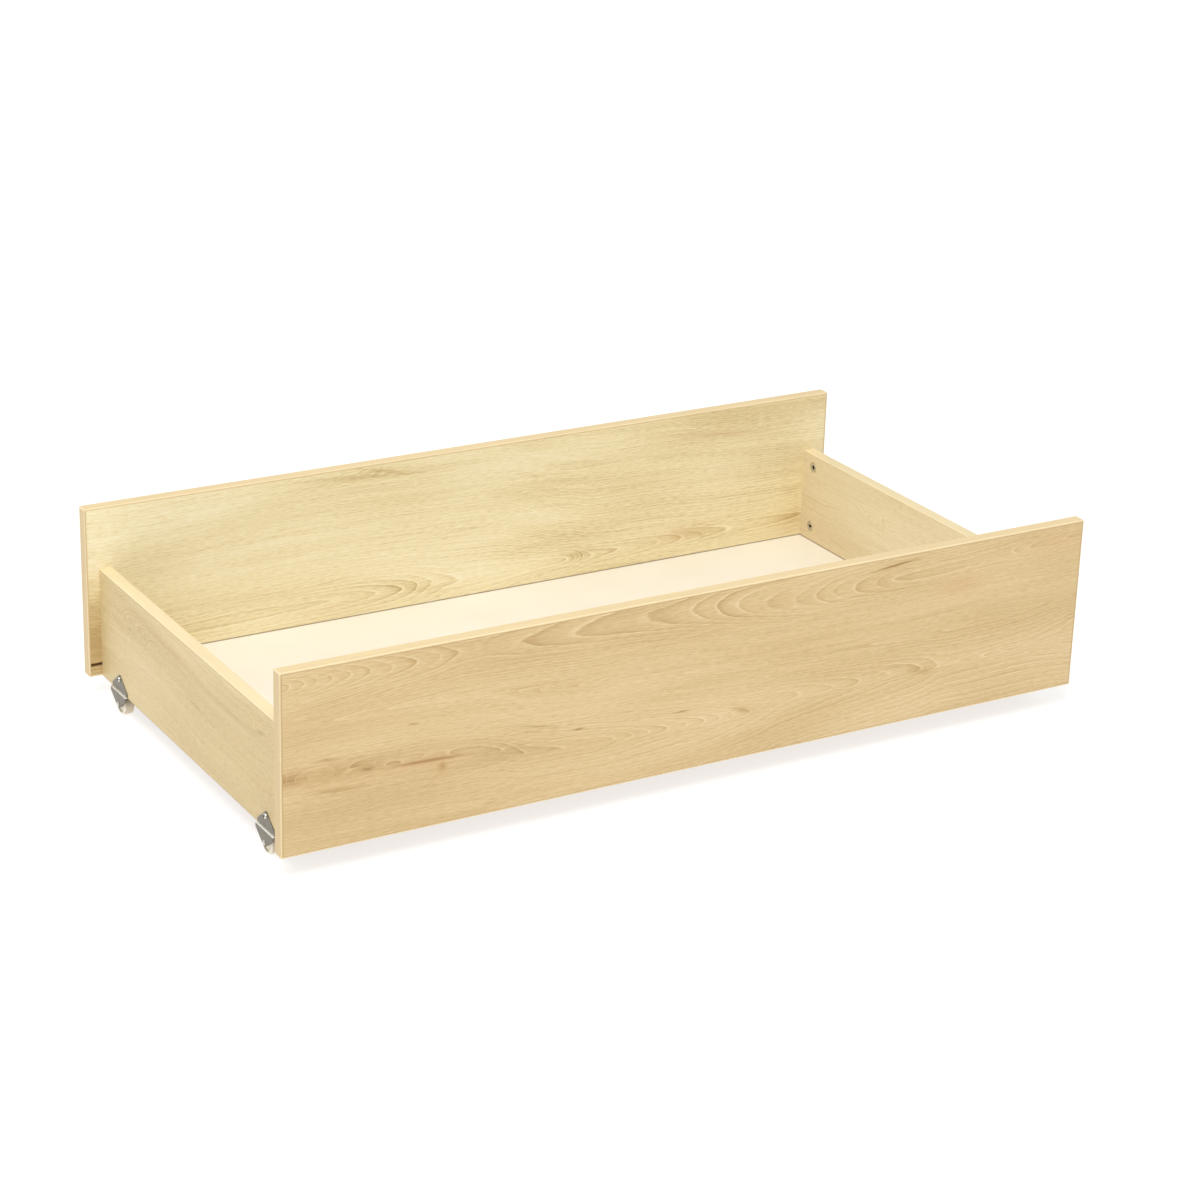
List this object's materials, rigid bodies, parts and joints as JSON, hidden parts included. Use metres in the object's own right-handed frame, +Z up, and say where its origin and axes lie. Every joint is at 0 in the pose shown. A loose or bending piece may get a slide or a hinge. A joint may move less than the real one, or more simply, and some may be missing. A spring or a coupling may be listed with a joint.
{
  "type": "under-bed storage box",
  "caption": "Low open-top wooden drawer that rolls under a bed on small fixed side castors, with a tall front and back panel over lower sides.",
  "frame": {"origin": "on the floor, under the middle of the box", "axes": "+X along the length, -Y out of the front face, +Z up"},
  "size_m": [0.985, 0.525, 0.2265],
  "materials": {
    "oak_decor": "satin oak-decor melamine on 15 mm board, grain along the board",
    "edge_band": "satin wood-tone edge band with rounded arrises",
    "cream_fibreboard": "smooth cream lacquer on 3 mm fibreboard",
    "zinc_plated_steel": "bright zinc plate on pressed sheet",
    "die_cast_zinc": "dull as-cast zinc",
    "white_nylon": "satin moulded nylon",
    "beech": "bare turned beech"
  },
  "bodies": {
    "box": {"front_panel": "oak_decor", "back_panel": "oak_decor", "left_side_panel": "oak_decor", "right_side_panel": "oak_decor", "base_panel": "cream_fibreboard", "front_band_top": "edge_band", "front_band_bottom": "edge_band", "front_band_left": "edge_band", "front_band_right": "edge_band", "back_band_top": "edge_band", "back_band_bottom": "edge_band", "back_band_left": "edge_band", "back_band_right": "edge_band", "left_side_band": "edge_band", "right_side_band": "edge_band", "cam_locks": "die_cast_zinc", "cam_bolts": "zinc_plated_steel", "wooden_dowels": "beech", "castor_screws": "zinc_plated_steel", "castor_front_left_side_plate": "zinc_plated_steel", "castor_front_left_fork": "zinc_plated_steel", "castor_front_left_axle": "zinc_plated_steel", "castor_front_right_side_plate": "zinc_plated_steel", "castor_front_right_fork": "zinc_plated_steel", "castor_front_right_axle": "zinc_plated_steel", "castor_rear_left_side_plate": "zinc_plated_steel", "castor_rear_left_fork": "zinc_plated_steel", "castor_rear_left_axle": "zinc_plated_steel", "castor_rear_right_side_plate": "zinc_plated_steel", "castor_rear_right_fork": "zinc_plated_steel", "castor_rear_right_axle": "zinc_plated_steel"},
    "front_left_wheel": {"castor_front_left_wheel": "white_nylon"},
    "front_right_wheel": {"castor_front_right_wheel": "white_nylon"},
    "rear_left_wheel": {"castor_rear_left_wheel": "white_nylon"},
    "rear_right_wheel": {"castor_rear_right_wheel": "white_nylon"}
  },
  "joints": [
    {"name": "front_left_wheel_spin", "type": "hinge", "parent": "box", "child": "front_left_wheel", "pos_m": [-0.4715, -0.1945, 0.0125], "axis": [1, 0, 0], "continuous": true},
    {"name": "front_right_wheel_spin", "type": "hinge", "parent": "box", "child": "front_right_wheel", "pos_m": [0.4715, -0.1945, 0.0125], "axis": [1, 0, 0], "continuous": true},
    {"name": "rear_left_wheel_spin", "type": "hinge", "parent": "box", "child": "rear_left_wheel", "pos_m": [-0.4715, 0.1945, 0.0125], "axis": [1, 0, 0], "continuous": true},
    {"name": "rear_right_wheel_spin", "type": "hinge", "parent": "box", "child": "rear_right_wheel", "pos_m": [0.4715, 0.1945, 0.0125], "axis": [1, 0, 0], "continuous": true}
  ]
}
